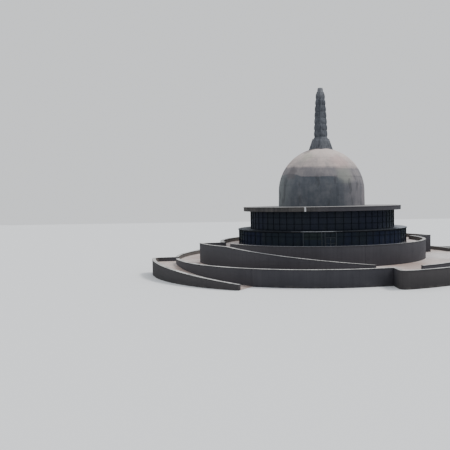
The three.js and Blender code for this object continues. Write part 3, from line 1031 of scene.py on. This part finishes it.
def buildDome():
    d = dome
    inner = d["radius"] - d["thickness"]
    low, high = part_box("dome_drum")
    foot = [(inner, low.z)]
    for share in spread(0, 1, d["footRows"]):
        foot.append((d["radius"] + d["flare"] * (1 - share) ** d["flareCurve"],
                     low.z + (high.z - low.z) * share))
    foot.append((inner, high.z))
    drum = lathe("dome_foot", foot, d["segments"], closed=True)
    dress(drum, "domeCement", "dome_drum", d["sharp"])

    turns = [(angle, 0) for angle in spread(0, math.pi / 2, d["outerRows"])[:-1]]
    for height in d["grooves"]:
        middle, half = math.asin((height - d["centre"]) / d["radius"]), d["grooveHalf"] / d["radius"]
        turns = [turn for turn in turns if abs(turn[0] - middle) > half * 2]
        turns += [(middle - half, 0), (middle, d["grooveDepth"]), (middle + half, 0)]
    outside = [domePoint(d["radius"] - cut, angle) for angle, cut in sorted(turns)]
    inside = [domePoint(inner, angle) for angle in spread(0, math.pi / 2, d["innerRows"])[:-1]]
    profile = [(0, d["centre"] + inner)] + inside[::-1] + outside + [(0, d["centre"] + d["radius"])]
    shell = lathe("dome_shell_cement", profile, d["segments"])
    dress(shell, "domeCement", "dome_shell", d["sharp"])
    print("dome built")


# A half is half of a square's diagonal, as every square is set cornerwise
spire = {
    "levels": (4.458, 5.944),  # the shaft's foot and top
    "halves": (0.236, 0.152), "taper": 1.6, "tiers": 7, "tierRows": 12, "notch": 0.02,
    "lip": 0.45,  # share of a tier's height where it is widest
    "swell": 0.7, "ribsAcross": 5,
    "ribSpan": 0.84,  # share of a face that has ribs
    "ribWidth": 0.42,  # share of the space between two ribs
    "ribFace": 0.6,  # share of a rib's width that its front has
    "ribDepth": 0.006, "ribRoot": 0.012, "edge": 0.004,
    "edgeAngle": 50,  # only sharper edges of a tier are rounded
    "sharp": 25,
}
spireFoot = {
    "topHalf": 0.289,
    "clear": 0.004,  # above the lowest point of its seat on the dome
    "slopeTop": 0.05,  # depth below the top
    "band": ((-0.006, -0.044), (-0.006, -0.014), (0.006, 0)),  # steps from its top corner
    "ribs": 6, "ribsInward": 0.03, "ribsRise": 0.1, "ribsTop": 0.07,
}
spireCollar = {
    "band": ((0, 0), (0, 0.022), (0.008, 0.03)),  # steps from its lower corner
    "neck": ((-0.006, -0.016), (0, 0)),  # and from the shaft at its top
}
spireTip = {
    "foot": ((0.008, 0), (0, 0.006), (0.002, 0.02)),  # steps from its lower corner
    "knob": ((0.11, 5.99), (0.102, 6.003), (0.098, 6.018), (0.1, 6.03), (0.1, 6.058),
             (0.092, 6.078)),
    "top": ((-0.088, -0.008), (-0.078, 0)),  # steps from the middle of its top
}


def shaftHalf(z):
    (low, high), (foot, top) = spire["levels"], spire["halves"]
    return foot + (top - foot) * ramped(z, low, 0, high, 1) ** spire["taper"]


def tierProfile(low, high):  # half and height up one tier, swelling to its lip
    lip = spire["lip"]
    levels = []
    for t in spread(0, 1, spire["tierRows"]):
        z = low + (high - low) * t
        along = t / lip * 0.5 if t < lip else 0.5 + (t - lip) / (1 - lip) * 0.5
        swell = math.sin(math.pi * along) ** spire["swell"]
        levels.append((shaftHalf(z) - spire["notch"] * (1 - swell), z))
    return levels


def squareStack(name, levels):  # a square set cornerwise at each level
    return sectionLoft(name, [[(*polar(half, 90 * i), z) for i in range(4)] for half, z in levels])


def ribsOn(name, levels, count):  # upright ribs up the four faces of a square stack
    s = spire
    reach = s["ribSpan"] * s["ribWidth"] / count
    ribs = []
    for face in range(4):
        spin = Matrix.Rotation(math.radians(45 + 90 * face), 3, "Z")
        for k in range(count):
            share = ((k + 0.5) / count * 2 - 1) * s["ribSpan"]
            sections = []
            for half, z in levels:
                flat = half / math.sqrt(2)
                front, back = -flat - s["ribDepth"], -flat + s["ribRoot"]
                ring = [((share - reach) * flat, back), ((share - reach * s["ribFace"]) * flat, front),
                        ((share + reach * s["ribFace"]) * flat, front), ((share + reach) * flat, back)]
                sections.append([spin @ Vector((x, y, z)) for x, y in ring])
            ribs.append(sectionLoft("rib", sections))
    return joinAll(name, ribs)


def carve(name, piece, *shapes):
    dress(joinAll(name, shapes), "spireStone", piece, spire["sharp"])


def buildSpireFoot():
    f = spireFoot
    low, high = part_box("spire_foot")
    bottom = low.z + f["clear"]
    grow = (high.x - f["topHalf"]) / (high.z - low.z)
    slope = lambda depth: (f["topHalf"] + grow * depth, high.z - depth)
    levels = [(high.x, bottom), slope(f["slopeTop"]), *stepsFrom(f["topHalf"], high.z, f["band"])]
    ribsFrom = (high.x - f["ribsInward"], bottom + f["ribsRise"])
    ribs = ribsOn("ribs", [ribsFrom, slope(f["ribsTop"])], f["ribs"])
    carve("spire_foot_carved", "spire_foot", softened(squareStack("block", levels), spire["edge"]), ribs)


def buildSpire():
    s = spire
    buildSpireFoot()

    low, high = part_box("spire_collar")
    levels = stepsFrom(high.x, low.z, spireCollar["band"])
    levels += stepsFrom(s["halves"][0] - s["notch"], high.z, spireCollar["neck"])
    collar = softened(squareStack("block", levels), s["edge"] / 2)
    carve("spire_collar_courses", "spire_collar", collar)

    for i in range(1, s["tiers"] + 1):
        low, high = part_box(f"spire_tier_{i}")
        levels = tierProfile(low.z, high.z)
        block = softened(squareStack("block", levels), s["edge"], segments=1, angle=s["edgeAngle"])
        ribs = ribsOn("ribs", levels[1:-1], s["ribsAcross"])
        carve(f"spire_tier_{i}_carved", f"spire_tier_{i}", block, ribs)

    low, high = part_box("spire_tip")
    levels = stepsFrom(high.x, low.z, spireTip["foot"]) + list(spireTip["knob"])
    levels += stepsFrom(0, high.z, spireTip["top"])
    carve("spire_tip_stone", "spire_tip", softened(squareStack("block", levels), s["edge"], segments=1))
    print("spire built")


def paintFloors():  # the frame's own terraces and ramps are shown, with a paved finish
    for name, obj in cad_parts.items():
        if name.endswith(("_mass", "_ramp")):
            obj.data.materials.clear()
            obj.data.materials.append(finishes["pavingSlabs"][0])


makeCamera()
makeStudio()
finishes = {}
for name, slot, painter, look in (
    ("wallRender", "render", paintWallRender, wallRender),
    ("copingStone", "ledge", paintCopingStone, copingStone),
    ("pavingSlabs", "paving", paintPaving, paving),
    ("darkGlass", "glazing", paintDarkGlass, darkGlass),
    ("darkAluminium", "glazing", paintMetal, darkMetal),
    ("doorAluminium", "glazing", paintMetal, doorMetal),
    ("ledgeStone", "ledge", paintLedge, ledgeStone),
    ("paleTrim", "ledge", paintTrim, paleTrim),
    ("roofRender", "slab", paintRoofEdge, roofEdge),
    ("domeCement", "cement", paintDomeCement, domeCement),
    ("spireStone", "spire", paintSpireStone, spireStone),
):
    finishes[name] = painter(Paint(name, look), look), slot
print("finishes mixed")
layBlocks = blockTree("layBlocks", True)
standBlocks = blockTree("standBlocks", False)
paintFloors()
buildWalls()
buildHall()
buildLedgeAndRoof()
buildDome()
buildSpire()
